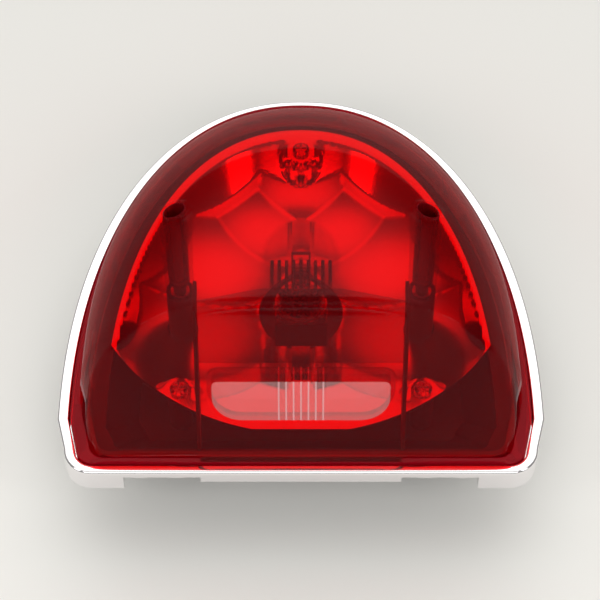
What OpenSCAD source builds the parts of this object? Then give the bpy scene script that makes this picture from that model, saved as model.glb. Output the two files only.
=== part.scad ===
// Motorcycle tail light: a red domed lens with a clear plate window, a chrome bezel,
// a dark housing with a dished reflector, and a twist-lock holder with a bayonet bulb.
// Millimetres. Z is the bulb axis, the flat end of the lens faces -Y,
// and the mounting pads lie on Z = 0.

/* [Lens] */
// Width of the lens across its rim
lens_w = 142; // [118:1:171]
// Length of the lens from its flat end to its round end
lens_l = 139; // [115:1:167]
// Distance from the bulb axis to the flat end of the lens
flat_end_y = 62; // [60:1:68]
// Height of the dome above its rim
dome_h = 62; // [51:1:75]
// How far the flat face leans in over the height of the dome
face_lean = 18; // [12:1:22]
// Wall thickness of the lens
lens_wall = 2.2; // [1.8:0.1:2.8]
// Width of the flat rim outside the dome
rim_band = 3.6; // [3.2:0.1:4.6]
// Thickness of the rim
rim_t = 3; // [2:0.1:4]
// Height of the top of the rim above the mounting plane
rim_z = 36; // [30:0.5:44]

/* [Plate window] */
// Width of the raised panel on each side of the window
panel_side = 4; // [3:0.5:8]
// How far the panel stands out
panel_step = 1.5; // [1:0.1:2]
// Width of the clear window
window_w = 53; // [44:1:64]
// Height of the clear window
window_h = 15.5; // [12:0.5:20]
// Height of the window's lower edge above the rim, along the flat face
window_v = 17; // [14:0.5:20]
// Number of flutes behind the window
flute_count = 7; // [3:1:9]
// Radius of one flute
flute_r = 1; // [0.8:0.1:1.1]

/* [Bezel] */
// Width of the chrome beside the lens
bezel_side = 4; // [3.4:0.1:5]
// Width of the chrome at the round end
bezel_top = 2.4; // [2:0.1:4]
// Width of the chrome at the flat end
bezel_bottom = 3.2; // [2.6:0.1:4]
// Height of the bezel at its corner legs
bezel_h = 10; // [9:0.5:11]
// Width of each corner leg
leg_w = 17; // [12:1:20]

/* [Housing] */
// Wall thickness of the housing
housing_wall = 2.5; // [2:0.1:3]
// Height of the outside of the back wall above the mounting plane
back_z = 12; // [11.5:0.5:13]
// Thickness of the gasket under the lens
gasket_t = 2; // [1.5:0.1:2.5]
// Width of the gasket
gasket_w = 4; // [3:0.5:4.5]
// Spacing of the mounting inserts across the lamp
mount_spacing_x = 68; // [60:1:72]
// Spacing of the mounting inserts along the lamp
mount_spacing_y = 50; // [46:1:54]
// Radius inside the mounting inserts, for an M5 thread
mount_bore_r = 2.1; // [2:0.1:2.6]
// Thickness of the rubber pads
pad_t = 2; // [1:0.1:3]

/* [Reflector] */
// Distance of the reflector's edge from the lens's edge at the sides
reflector_side = 8.8; // [8:0.1:9.5]
// Distance of the reflector's edge from the lens's edge at the round end
reflector_top = 8; // [7:0.1:8.5]
// Thickness of the reflector
reflector_t = 1.8; // [1.5:0.1:2]
// Height of its two dishes above the holder
dish_gap = 1; // [0.5:0.1:3]

/* [Lens screws] */
// Distance of each lens screw from the middle plane
screw_x = 38; // [36:1:40]
// Place of the lens screws along the lamp
screw_y = -4; // [-6:1:0]
// Radius of a screw well
well_r = 3.5; // [2.9:0.1:4.2]
// Radius of the tube round a well at its mouth
tube_r = 5.3; // [5.1:0.1:6]
// Height of the bottom of the tubes
tube_z = 44; // [42:1:48]
// Radius of a lens screw
screw_r = 2; // [1.5:0.1:2.2]

/* [Bulb and holder] */
// Radius of the bulb's metal base
base_r = 7.5; // [7:0.1:7.7]
// Radius of the bulb's glass
glass_r = 12.5; // [11:0.5:13]
// Length of the bulb from its base to its tip
bulb_l = 50; // [46:1:52]
// How far the bulb can be pushed in
push_travel = 2; // [1:0.1:2.2]
// Angle the bulb turns to leave its slots
bulb_turn = 20; // [15:1:25]
// Radius of the holder's barrel
barrel_r = 16.8; // [14:0.1:20.2]
// Angle the holder turns to unlock
holder_turn = 40; // [35:1:45]

/* [Hidden] */

// Clearances
rim_gap = 0.4;      // lens rim to bezel
window_gap = 0.1;   // window to its opening
thread_gap = 0.05;  // screw to insert
post_gap = 0.5;     // post to reflector
dish_wall_gap = 0.6; // reflector to housing wall
turn_gap = 0.2;     // barrel to housing
slide_gap = 0.25;   // bulb base to socket
over = 1;           // how far a cutter passes its face

// Outline of the rim
outline_power = 2.15;
arc_steps = 36;
corner_steps = 4;
corner_r = 5;
corner_taper = 2.6;
wide_y = 16;        // height of the widest line above the flat end

rim_top_y = lens_l - flat_end_y;
foot_z = rim_z - rim_t;
ledge_z = foot_z - gasket_t;
ledge_t = housing_wall;

// Dome
dome_w = lens_w / 2 - rim_band;
dome_flat_y = -flat_end_y + rim_band / 2;
dome_top_y = rim_top_y - rim_band;
side_power = 2.6;
top_power = 1.3;
dome_steps = 12;
dome_tip = 0.995;   // share of the height at which the dome's last ring lies
lean = face_lean / dome_h;
face_angle = atan(lean);
panel_w = window_w + 2 * panel_side;
panel_inset = 3.5;  // between the panel's top and the edge of the dome

// Screw wells
seat_t = 6;
seat_z = tube_z + seat_t;
head_r = well_r - 0.3;
head_h = 2.6;
seal_t = 1;
insert_r = 3;
insert_l = 8;
post_r = well_r + 0.9;

// Reflector
reflector_bottom = 14;
reflector_round_r = lens_w / 2 + 0.6;   // rounds off the reflector's lower corners
reflector_round_y = rim_top_y - 55;
dish_overlap = 6;   // how far each dish passes the middle plane
dish_top = rim_top_y - 23;
dish_bottom = 32 - flat_end_y;
dish_a = (lens_w / 2 - 15 + dish_overlap) / 2;
dish_b = (dish_top - dish_bottom) / 2;
dish_x = dish_a - dish_overlap;
dish_y = (dish_top + dish_bottom) / 2;
reflector_rim_z = ledge_z + reflector_t;
reflector_screw_x = lens_w / 2 - 33;
reflector_screw_y = 28 - flat_end_y;
reflector_screw_at = [[0, rim_top_y - 17],
    [reflector_screw_x, reflector_screw_y], [-reflector_screw_x, reflector_screw_y]];
reflector_boss_r = 3.6;
reflector_screw_r = 1.4;
bulb_hole_r = glass_r + 1;

// Bezel
bezel_top_z = rim_z - 0.4;
bezel_bottom_z = rim_z - bezel_h;
lip_t = ledge_z - ledge_t - bezel_bottom_z;
lip_w = 5.5;
leg_l = 18;         // how far the cut-outs reach from the flat end
bezel_screw_r = 1.1;
cut_middle = 5.6;   // height left under the rim behind the panel
cut_side = 3;       // height left under the rim beside it
tab_drop = 4.4;     // how far the tabs hang under the rim
tab_w = 4;
tab_x = [-5, 6];    // places of the tabs from the middle of each gap
bezel_screw_steps = [3, 13];   // steps of the rim's outline beside which the bezel screws sit

// Back of the housing
pan_side = 8;
pan_top = 7;
pan_bottom = 5.5;
back_side = 17;
back_top = 19;
back_bottom = 18;
mount_boss_r = 7;
mount_insert_r = 3.4;
mount_insert_l = 10;

// Holder
holder_hole_r = barrel_r + turn_gap;
lug_r = barrel_r + 2.6;
lug_angle = 30;
lug_count = 3;
lug_gap = 0.3;
lug_t = 2.2;
back_top_z = back_z + housing_wall;
lug_z = back_top_z + lug_gap;
holder_top_z = lug_z + lug_t;
dish_depth = ledge_z - holder_top_z - dish_gap;
seal_ring_t = 1;
flange_t = 2.5;
flange_r = barrel_r + 4.2;
flange_z = back_z - seal_ring_t - flange_t;
grip_t = 6;
grip_w = 26;
grip_z = 1.5;
shell_t = 0.6;
shell_in_r = base_r + slide_gap;
shell_r = shell_in_r + shell_t;
floor_z = flange_z + 0.6;

// Bulb
bulb_z = floor_z + 8.4;
base_h = 16;
pin_r = 1;
pin_gap = 0.3;
pin_len = 1.2;
pin_heights = [8, 11];
shell_top_z = bulb_z + 14;
contact_h = 0.75;
contact_gap = 0.15;
stud_r = 1.5;
stud_rise = 0.2;
contact_x = 3.2;
disc_t = 1.5;
disc_top_z = bulb_z - contact_h - contact_gap - stud_rise;
disc_z = disc_top_z - disc_t;
disc_r = shell_in_r - 0.4;
glass_t = 0.9;
glass_z = bulb_z + bulb_l - glass_r;
glass_flare = 17;
neck_z = bulb_z + base_h;
stem_h = 11;

// Terminals and the spring under the contact disc
terminal_at = [[-6, 5.6], [6, 5.6], [0, -5.6]];
spring_turns = 4;
spring_steps = 14;
spring_r = 5.2;
wire_r = 0.4;

$fn = 64;

function signed_power(v, p) = sign(v) * pow(abs(v), p);

// A D-shaped outline: a rounded end over a widest line, and a flat end with two round corners.
function d_outline(w, top, bottom, wide, corner, taper) = concat(
    [for (i = [0:arc_steps]) let (a = 180 * i / arc_steps, p = 2 / outline_power)
        [w * signed_power(cos(a), p), wide + (top - wide) * pow(abs(sin(a)), p)]],
    [for (i = [0:corner_steps]) let (a = 180 + 90 * i / corner_steps)
        [taper - w + corner * (1 + cos(a)), bottom + corner * (1 + sin(a))]],
    [for (i = [0:corner_steps]) let (a = 270 + 90 * i / corner_steps)
        [w - taper - corner * (1 - cos(a)), bottom + corner * (1 + sin(a))]]);

// The rim's outline, grown by side, top and bottom.
function grown_rim(side, top, bottom) =
    let (corner = max(3, corner_r + (side + bottom) / 2),
         wide = max(wide_y, corner + 4 - bottom))
    d_outline(lens_w / 2 + side, rim_top_y + top, -flat_end_y - bottom, wide - flat_end_y,
        corner, corner_taper);
function rim_outline(grow) = grown_rim(grow, grow, grow);

function at_height(outline, z) = [for (p = outline) [p[0], p[1], z]];

// One ring of the dome at share u of its height, set in by inset; step moves its flat face out.
function dome_ring(u, inset, step) =
    let (height = dome_h - inset,
         z = height * u,
         flat = dome_flat_y + inset / cos(face_angle),
         bottom = flat + z * lean - step,
         apex = flat + height * lean,
         top = apex + (dome_top_y - inset - apex) * sqrt(1 - pow(u, top_power)),
         w = (dome_w - inset) * pow(1 - pow(u, side_power), 1 / side_power),
         corner = 1 + (corner_r - 1) * (1 - u))
    at_height(d_outline(w, top, bottom, bottom + corner + 0.5 + 10 * (1 - u), corner,
        corner_taper * (1 - u)), rim_z + z);

function dome_rings(inset, step) =
    [for (k = [0:dome_steps]) dome_ring(dome_tip * (1 - pow(1 - k / dome_steps, 1.6)), inset, step)];

// A closed skin through rings that have the same number of points.
module loft(rings) {
    n = len(rings[0]);
    last = (len(rings) - 1) * n;
    polyhedron(
        points = [for (ring = rings) each ring],
        faces = concat(
            [[for (i = [0:n - 1]) i]],
            [[for (i = [n - 1:-1:0]) last + i]],
            [for (k = [0:len(rings) - 2], i = [0:n - 1])
                let (a = k * n + i, b = k * n + (i + 1) % n)
                each [[a, a + n, b + n], [a, b + n, b]]]));
}

module ring_plate(outer, inner, z, t) {
    translate([0, 0, z]) linear_extrude(t) difference() {
        polygon(outer);
        polygon(inner);
    }
}

module tube(r_out, r_in, z, h) {
    translate([0, 0, z]) difference() {
        cylinder(r = r_out, h = h);
        translate([0, 0, -over]) cylinder(r = r_in, h = h + 2 * over);
    }
}

module rod(r, z, h) { translate([0, 0, z]) cylinder(r = r, h = h); }

module both_sides(x, y) { for (s = [-1, 1]) translate([s * x, y, 0]) children(); }

module at_mounts() {
    for (sx = [-1, 1], sy = [-1, 1])
        translate([sx * mount_spacing_x / 2, sy * mount_spacing_y / 2, 0]) children();
}

// Places children on the flat face: X across, Y up the face, Z out of it.
module on_face() {
    translate([0, dome_flat_y, rim_z]) rotate([90 - face_angle, 0, 0]) children();
}

// A slice of a turned ring between two radii.
module ring_sector(r_in, r_out, z, h, start, angle) {
    rotate([0, 0, start]) translate([0, 0, z]) rotate_extrude(angle = angle)
        translate([r_in, 0]) square([r_out - r_in, h]);
}

// A pan-head screw with a cross recess, its head's underside at Z = 0.
module screw(r, length, head_radius, head_height) {
    recess_w = head_radius * 0.28;
    recess_l = head_radius * 1.3;
    difference() {
        union() {
            rod(r, -length, length);
            cylinder(r = head_radius, h = head_height * 0.6);
            translate([0, 0, head_height * 0.6])
                cylinder(r1 = head_radius, r2 = head_radius * 0.7, h = head_height * 0.4);
        }
        for (a = [0, 90]) rotate([0, 0, a])
            translate([-recess_l / 2, -recess_w / 2, head_height * 0.4])
                cube([recess_l, recess_w, head_height]);
    }
}

// A turned brass insert with two grooves round it.
module threaded_insert(r, bore, length) {
    groove = 0.3;
    difference() {
        cylinder(r = r, h = length);
        translate([0, 0, -over]) cylinder(r = bore, h = length + 2 * over);
        for (share = [0.3, 0.62]) tube(r + over, r - groove, length * share, length * 0.08);
    }
}

// Housing

function pan_outline(side, top, bottom, inset) =
    grown_rim(-side - inset, -top - inset, -bottom - inset);

module pan(inset, low, high) {
    loft([at_height(pan_outline(back_side, back_top, back_bottom, inset), low),
          at_height(pan_outline(pan_side, pan_top, pan_bottom, inset), ledge_z - ledge_t),
          at_height(pan_outline(pan_side, pan_top, pan_bottom, inset), high)]);
}

module bezel_screw_places() {
    for (k = bezel_screw_steps) let (at = rim_outline(-lip_w / 2)[k]) both_sides(at[0], at[1]) children();
}

module housing_posts() {
    both_sides(screw_x, screw_y) rod(post_r, back_z, tube_z - back_z);
    for (at = reflector_screw_at) translate(at)
        rod(reflector_boss_r, back_z, reflector_rim_z - reflector_t - back_z);
}

module holder_stops() {
    stop_angle = 5;
    for (k = [0:lug_count - 1])
        ring_sector(holder_hole_r + 0.3, lug_r + 1, back_top_z - 0.2, lug_t,
            360 * k / lug_count - stop_angle - 1, stop_angle);
}

module rear_housing() color("dimgray") {
    difference() {
        union() {
            difference() {
                union() {
                    pan(0, back_z, ledge_z);
                    translate([0, 0, ledge_z - ledge_t]) linear_extrude(ledge_t)
                        polygon(rim_outline(0));
                }
                pan(housing_wall, back_top_z, ledge_z + over);
            }
            at_mounts() rod(mount_boss_r, pad_t, back_top_z - pad_t);
            intersection() {
                housing_posts();
                pan(1, back_z, tube_z + over);
            }
            holder_stops();
        }
        rod(holder_hole_r, back_z - over, housing_wall + 2 * over);
        for (k = [0:lug_count - 1])
            ring_sector(barrel_r - over, lug_r + 0.3, back_z - over, housing_wall + 2 * over,
                360 * k / lug_count + holder_turn - 3, lug_angle + 6);
        at_mounts() rod(mount_insert_r, -over, mount_insert_l + 0.2 + over);
        both_sides(screw_x, screw_y) {
            rod(insert_r, tube_z - insert_l, insert_l + over);
            rod(screw_r + thread_gap, tube_z - insert_l - 4, 5);
        }
        for (at = reflector_screw_at) translate(at)
            rod(reflector_screw_r + thread_gap, reflector_rim_z - reflector_t - 8, 8 + over);
        bezel_screw_places() rod(bezel_screw_r + thread_gap, ledge_z - ledge_t - over, over + 2);
    }
}

module mounting_inserts() color("goldenrod")
    at_mounts() translate([0, 0, 0.2]) threaded_insert(mount_insert_r, mount_bore_r, mount_insert_l);

module mounting_pads() color("black")
    at_mounts() tube(mount_boss_r, mount_insert_r + 0.4, 0, pad_t);

module lens_screw_inserts() color("goldenrod")
    both_sides(screw_x, screw_y) translate([0, 0, tube_z - insert_l])
        threaded_insert(insert_r, screw_r + thread_gap, insert_l);

// Bezel

module bezel_cutouts() {
    low = bezel_bottom_z - over;
    gap_x = lens_w / 2 - leg_w;
    gap_w = gap_x - panel_w / 2;
    translate([-panel_w / 2, -flat_end_y - bezel_bottom - over, low])
        cube([panel_w, leg_l, rim_z - cut_middle - low]);
    for (s = [-1, 1]) translate([s * (gap_x + panel_w / 2) / 2, -flat_end_y - bezel_bottom - over, low])
        difference() {
            translate([-gap_w / 2, 0, 0]) cube([gap_w, leg_l, rim_z - cut_side - low]);
            for (x = tab_x) translate([x - tab_w / 2, -over, rim_z - tab_drop - low])
                cube([tab_w, leg_l + 2 * over, tab_drop]);
        }
}

module chrome_bezel() color("gainsboro") {
    outer = grown_rim(bezel_side, bezel_top, bezel_bottom);
    difference() {
        union() {
            ring_plate(outer, rim_outline(rim_gap), bezel_bottom_z, bezel_top_z - bezel_bottom_z);
            ring_plate(grown_rim(1, 1, 1), rim_outline(-lip_w), bezel_bottom_z, lip_t);
        }
        bezel_cutouts();
        bezel_screw_places() rod(bezel_screw_r + 0.1, bezel_bottom_z - over, lip_t + 2 * over);
    }
}

module bezel_screws() color("silver")
    bezel_screw_places() translate([0, 0, bezel_bottom_z]) mirror([0, 0, 1])
        screw(bezel_screw_r, lip_t + 1.8, 2, 1.4);

// Lens, window and seal

module lens_gasket() color("gray")
    ring_plate(rim_outline(-0.8), rim_outline(-0.8 - gasket_w), ledge_z, gasket_t);

module dome_inside() {
    loft(concat([at_height([for (p = dome_ring(0, lens_wall, 0)) [p[0], p[1]]], foot_z - over)],
        dome_rings(lens_wall, 0)));
}

module raised_panel() {
    intersection() {
        loft(dome_rings(panel_inset, panel_step + panel_inset / cos(face_angle)));
        translate([-panel_w / 2, -flat_end_y - panel_step - over, rim_z - over])
            cube([panel_w, flat_end_y - 20, dome_h + over]);
    }
}

module screw_tubes() {
    both_sides(screw_x, screw_y) translate([0, 0, tube_z])
        cylinder(r1 = post_r, r2 = tube_r, h = rim_z + dome_h - tube_z);
}

function window_outline(grow) =
    let (w = window_w / 2 + grow, low = -grow, high = window_h + grow, big = 9 + grow, small = 2 + grow)
    concat(
        [for (i = [0:8]) let (a = 270 + 90 * i / 8) [w - big + big * cos(a), low + big + big * sin(a)]],
        [for (i = [0:4]) let (a = 90 * i / 4) [w - small + small * cos(a), high - small + small * sin(a)]],
        [for (i = [0:4]) let (a = 90 + 90 * i / 4) [small - w + small * cos(a), high - small + small * sin(a)]],
        [for (i = [0:8]) let (a = 180 + 90 * i / 8) [big - w + big * cos(a), low + big + big * sin(a)]]);

module lens() color("crimson") {
    difference() {
        union() {
            difference() {
                union() {
                    loft(dome_rings(0, 0));
                    raised_panel();
                    translate([0, 0, foot_z]) linear_extrude(rim_t) polygon(rim_outline(0));
                }
                dome_inside();
            }
            intersection() {
                screw_tubes();
                loft(dome_rings(0, 0));
            }
        }
        both_sides(screw_x, screw_y) {
            rod(well_r, seat_z, rim_z + dome_h - seat_z);
            rod(screw_r + 0.3, tube_z - over, seat_t + 2 * over);
        }
        on_face() translate([0, window_v, -lens_wall - over])
            linear_extrude(lens_wall + panel_step + 2 * over) polygon(window_outline(0));
    }
}

module plate_window() color("mistyrose") {
    flange = 1.5;
    flange_thick = 1.2;
    pitch = 2 * flute_r;
    on_face() translate([0, window_v, 0]) union() {
        translate([0, 0, -lens_wall - 0.1])
            linear_extrude(lens_wall + 0.1 + panel_step * cos(face_angle)) polygon(window_outline(-window_gap));
        translate([0, 0, -lens_wall - flange_thick]) linear_extrude(flange_thick)
            polygon(window_outline(flange));
        for (k = [0:flute_count - 1])
            translate([(k - (flute_count - 1) / 2) * (pitch + 0.2), 1, -lens_wall - flange_thick])
                rotate([-90, 0, 0]) cylinder(r = flute_r, h = window_h - 2);
    }
}

module lens_screws() color("silver")
    both_sides(screw_x, screw_y) translate([0, 0, seat_z + seal_t])
        screw(screw_r, seal_t + seat_t + insert_l - 1, head_r, head_h);

module lens_screw_seals() color("black")
    both_sides(screw_x, screw_y) tube(head_r, screw_r + 0.2, seat_z, seal_t);

// Reflector

function oval(a, b, y, z, power, steps) =
    [for (i = [0:steps - 1]) let (t = 360 * i / steps)
        [a * signed_power(cos(t), 2 / power), y + b * signed_power(sin(t), 2 / power), z]];

module dishes(grow) {
    steps = 7;
    for (s = [-1, 1]) translate([s * dish_x, dish_y, 0])
        loft([for (k = [steps:-1:0]) let (a = 88 * k / steps)
            oval((dish_a + grow) * cos(a), (dish_b + grow) * cos(a), 0,
                reflector_rim_z + 0.01 - (dish_depth + grow) * sin(a), 2, 32)]);
}

module reflector() color("silver") {
    wall_in = housing_wall + dish_wall_gap;
    low = holder_top_z;
    difference() {
        union() {
            translate([0, 0, ledge_z]) linear_extrude(reflector_t) intersection() {
                polygon(grown_rim(-reflector_side, -reflector_top, -reflector_bottom));
                translate([0, reflector_round_y]) circle(r = reflector_round_r);
            }
            intersection() {
                dishes(reflector_t);
                pan(wall_in, low, ledge_z + over);
            }
        }
        intersection() {
            dishes(0);
            pan(wall_in + reflector_t, low, reflector_rim_z + over);
        }
        rod(bulb_hole_r, low, reflector_rim_z);
        both_sides(screw_x, screw_y) rod(post_r + post_gap, low, reflector_rim_z);
        for (at = reflector_screw_at) translate(at)
            rod(reflector_screw_r + 0.2, reflector_rim_z - reflector_t - over, reflector_t + 2 * over);
    }
}

module reflector_screws() color("silver")
    for (at = reflector_screw_at) translate([at[0], at[1], reflector_rim_z])
        screw(reflector_screw_r, reflector_t + 6, 2.8, 1.8);

// Holder

module bulb_holder() color("gray") {
    difference() {
        union() {
            rod(barrel_r, flange_z, holder_top_z - flange_z);
            rod(flange_r, flange_z, flange_t);
            for (k = [0:lug_count - 1])
                ring_sector(barrel_r - over, lug_r, lug_z, lug_t, 360 * k / lug_count, lug_angle);
            translate([-grip_w / 2, -grip_t / 2, grip_z]) cube([grip_w, grip_t, flange_z - grip_z + 0.2]);
        }
        rod(shell_r, floor_z, holder_top_z);
        for (at = terminal_at) translate(at) translate([0, 0, flange_z - over])
            terminal_blade(floor_z - flange_z + 2 * over);
    }
}

module holder_seal() color("black")
    tube(flange_r - 0.4, barrel_r + 0.3, back_z - seal_ring_t, seal_ring_t);

module terminal_blade(h) {
    blade_w = 4;
    blade_t = 0.8;
    translate([-blade_w / 2, -blade_t / 2, 0]) cube([blade_w, blade_t, h]);
}

module terminals() color("gold")
    for (at = terminal_at) translate(at) translate([0, 0, grip_z + 0.6])
        terminal_blade(floor_z - grip_z - 0.6);

module socket_shell() color("lightgray") {
    slot_r = shell_r + over;
    half = asin((pin_r + pin_gap) / shell_in_r) + 2;
    difference() {
        tube(shell_r, shell_in_r, floor_z, shell_top_z - floor_z);
        for (k = [0, 1]) let (z = bulb_z + pin_heights[k]) rotate([0, 0, 180 * k]) {
            ring_sector(shell_in_r - over, slot_r, z - push_travel - pin_r - pin_gap,
                push_travel + 2 * (pin_r + pin_gap), -half, bulb_turn + 2 * half);
            rotate([0, 0, bulb_turn]) translate([0, -pin_r - pin_gap, z - pin_r - pin_gap])
                cube([slot_r, 2 * (pin_r + pin_gap), shell_top_z - z + 5]);
        }
    }
}

// A round wire wound into a spring with flat ends.
module contact_spring() color("silver") {
    low = floor_z + wire_r;
    rise = disc_z - wire_r - low;
    total = spring_turns * spring_steps;
    loft([for (k = [0:total]) let (
            turn = 360 * k / spring_steps,
            share = k / total,
            z = low + rise * min(1, max(0, (share * spring_turns - 0.7) / (spring_turns - 1.4))))
        [for (i = [0:7]) let (a = 45 * i, r = spring_r + wire_r * cos(a))
            [r * cos(turn), r * sin(turn), z - wire_r * sin(a)]]]);
}

module contact_disc() color("sienna") {
    difference() {
        rod(disc_r, disc_z, disc_t);
        both_sides(contact_x, 0) rod(stud_r, disc_z - over, disc_t + 2 * over);
    }
}

module contact_studs() color("goldenrod")
    both_sides(contact_x, 0) rod(stud_r, disc_z - 0.3, disc_t + 0.3 + stud_rise);

// Bulb

module bulb_base() color("silver") {
    rod(base_r, bulb_z, base_h);
    for (k = [0, 1]) rotate([0, 0, 180 * k]) translate([base_r - 1, 0, bulb_z + pin_heights[k]])
        rotate([0, 90, 0]) cylinder(r = pin_r, h = pin_len + 1);
}

module bulb_contacts() color("lightgray")
    both_sides(contact_x, 0) translate([0, 0, bulb_z - contact_h]) cylinder(r1 = 1, r2 = 1.4, h = contact_h);

module glass_body(inset) {
    r = glass_r - inset;
    joint_z = glass_z - r * sin(glass_flare);
    joint_r = r * cos(glass_flare);
    union() {
        translate([0, 0, glass_z]) sphere(r = r);
        translate([0, 0, neck_z]) cylinder(
            r1 = joint_r - (joint_z - neck_z) * tan(glass_flare), r2 = joint_r, h = joint_z - neck_z);
    }
}

module bulb_glass() color("lightcyan") {
    difference() {
        glass_body(0);
        glass_body(glass_t);
    }
}

module bulb_stem() color("azure")
    translate([0, 0, neck_z]) cylinder(r1 = 4.2, r2 = 2.4, h = stem_h);

module bulb_filaments() color("dimgray") {
    wire = 0.3;
    coil_r = 0.55;
    coil_l = 6;
    for (k = [0, 1]) translate([0, 3 * k - 1.5, 0]) {
        z = glass_z - 2 + 3.5 * k;
        translate([-coil_l / 2, 0, z]) rotate([0, 90, 0]) cylinder(r = coil_r, h = coil_l);
        for (s = [-1, 1]) translate([s * (coil_l / 2 - wire), 0, neck_z + stem_h + 0.1])
            cylinder(r = wire, h = z - neck_z - stem_h - 0.1);
    }
}

rear_housing();
chrome_bezel();
bezel_screws();
lens_gasket();
reflector();
reflector_screws();
lens();
plate_window();
lens_screw_inserts();
lens_screws();
lens_screw_seals();
mounting_inserts();
mounting_pads();
bulb_holder();
holder_seal();
socket_shell();
terminals();
contact_spring();
contact_disc();
contact_studs();
bulb_base();
bulb_contacts();
bulb_glass();
bulb_stem();
bulb_filaments();
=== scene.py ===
# Motorcycle tail light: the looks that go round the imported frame.
# Units are metres. Z is the bulb axis and -Y is the flat, number-plate end of the lens.

import math

import bmesh
import bpy
from bpy.props import FloatProperty, FloatVectorProperty, IntProperty, PointerProperty
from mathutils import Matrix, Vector


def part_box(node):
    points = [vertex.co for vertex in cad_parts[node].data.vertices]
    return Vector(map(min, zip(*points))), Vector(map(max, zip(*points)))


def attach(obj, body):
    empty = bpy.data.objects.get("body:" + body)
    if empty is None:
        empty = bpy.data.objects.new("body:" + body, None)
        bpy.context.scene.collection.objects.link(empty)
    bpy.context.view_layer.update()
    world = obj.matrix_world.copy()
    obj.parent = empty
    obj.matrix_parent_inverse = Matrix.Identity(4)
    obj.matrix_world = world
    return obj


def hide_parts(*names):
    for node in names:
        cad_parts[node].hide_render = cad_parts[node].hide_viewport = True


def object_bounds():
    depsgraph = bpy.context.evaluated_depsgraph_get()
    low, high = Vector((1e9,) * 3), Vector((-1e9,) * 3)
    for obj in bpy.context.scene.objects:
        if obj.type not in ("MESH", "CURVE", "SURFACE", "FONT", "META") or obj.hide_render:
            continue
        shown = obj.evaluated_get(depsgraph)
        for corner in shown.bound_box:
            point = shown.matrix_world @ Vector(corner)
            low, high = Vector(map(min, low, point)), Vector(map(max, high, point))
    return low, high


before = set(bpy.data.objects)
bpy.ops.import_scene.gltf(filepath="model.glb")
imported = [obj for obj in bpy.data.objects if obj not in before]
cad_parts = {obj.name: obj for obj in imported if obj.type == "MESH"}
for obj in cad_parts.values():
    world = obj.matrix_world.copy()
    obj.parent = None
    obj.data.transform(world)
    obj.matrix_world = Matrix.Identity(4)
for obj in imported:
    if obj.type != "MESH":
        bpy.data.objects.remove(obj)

bl_info = {
    "name": "Motorcycle tail light",
    "version": (1, 0, 0),
    "blender": (4, 5, 0),
    "location": "View3D > Sidebar > Tail light",
    "description": "Builds the lens, bezel and reflector of a tail light round its frame",
    "category": "Object",
}

MM = 0.001
CAD_LOW, CAD_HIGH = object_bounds()
LENS_LOW, LENS_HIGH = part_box("lens")
BEZEL_LOW, BEZEL_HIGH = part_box("chrome_bezel")
REFLECTOR_LOW, REFLECTOR_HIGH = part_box("reflector")
SCREW_LOW, SCREW_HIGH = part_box("lens_screws")
SEAL_LOW, SEAL_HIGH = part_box("lens_screw_seals")
INSERT_LOW, INSERT_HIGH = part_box("lens_screw_inserts")
BOSS_LOW, BOSS_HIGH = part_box("reflector_screws")


# Sizes and colours

class LampSizes(bpy.types.PropertyGroup):
    """Sizes of the visible pieces"""
    lens_wall: FloatProperty(name="Lens wall", description="Thickness of the lens",
                             default=2.2 * MM, min=1.5 * MM, max=3 * MM, unit="LENGTH")
    rim_band: FloatProperty(name="Rim band", description="Width of the flat rim outside the dome",
                            default=3.6 * MM, min=3 * MM, max=5 * MM, unit="LENGTH")
    rim_thickness: FloatProperty(name="Rim thickness", description="Height of the rim's foot",
                                 default=3 * MM, min=2 * MM, max=4 * MM, unit="LENGTH")
    face_lean: FloatProperty(name="Face lean", description="How far the flat face leans in",
                             default=18 * MM, min=10 * MM, max=22 * MM, unit="LENGTH")
    panel_width: FloatProperty(name="Panel width", description="Width of the raised panel",
                               default=61 * MM, min=55 * MM, max=70 * MM, unit="LENGTH")
    panel_step: FloatProperty(name="Panel step", description="How far the panel stands out",
                              default=1.5 * MM, min=1 * MM, max=2 * MM, unit="LENGTH")
    well_radius: FloatProperty(name="Well radius", description="Radius of the screw wells",
                               default=3.5 * MM, min=3 * MM, max=4 * MM, unit="LENGTH")
    tube_radius: FloatProperty(name="Tube radius", description="Radius of the tubes at their mouths",
                               default=5.3 * MM, min=5 * MM, max=6 * MM, unit="LENGTH")
    ring_points: IntProperty(name="Ring points", description="Steps round the curved end of each ring",
                             default=96, min=36, max=160)
    dome_rings: IntProperty(name="Dome rings", description="Rings from the rim to the top of the dome",
                            default=30, min=12, max=60)


class LampColours(bpy.types.PropertyGroup):
    """Colours of the finishes"""
    red: FloatVectorProperty(name="Lens red", description="What the lens lets through",
                             subtype="COLOR", size=3, default=(0.88, 0.025, 0.09), min=0, max=1)
    clear: FloatVectorProperty(name="Window", description="What the plate window lets through",
                               subtype="COLOR", size=3, default=(0.84, 0.38, 0.42), min=0, max=1)
    chrome: FloatVectorProperty(name="Chrome", description="Bright plating",
                                subtype="COLOR", size=3, default=(0.86, 0.84, 0.85), min=0, max=1)
    plastic: FloatVectorProperty(name="Housing", description="Moulded dark plastic",
                                 subtype="COLOR", size=3, default=(0.05, 0.046, 0.047), min=0, max=1)
    floor: FloatVectorProperty(name="Floor", description="Pale floor",
                               subtype="COLOR", size=3, default=(0.84, 0.83, 0.79), min=0, max=1)


def sizes():
    return bpy.context.scene.lamp_sizes


def colours():
    return bpy.context.scene.lamp_colours


# Materials

def new_material(name):
    material = bpy.data.materials.new(name)
    material.use_nodes = True
    material.node_tree.nodes.clear()
    return material, material.node_tree


def add_node(tree, kind, **inputs):
    made = tree.nodes.new(kind)
    for key, value in inputs.items():
        made.inputs[key.replace("_", " ")].default_value = value
    return made


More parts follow.
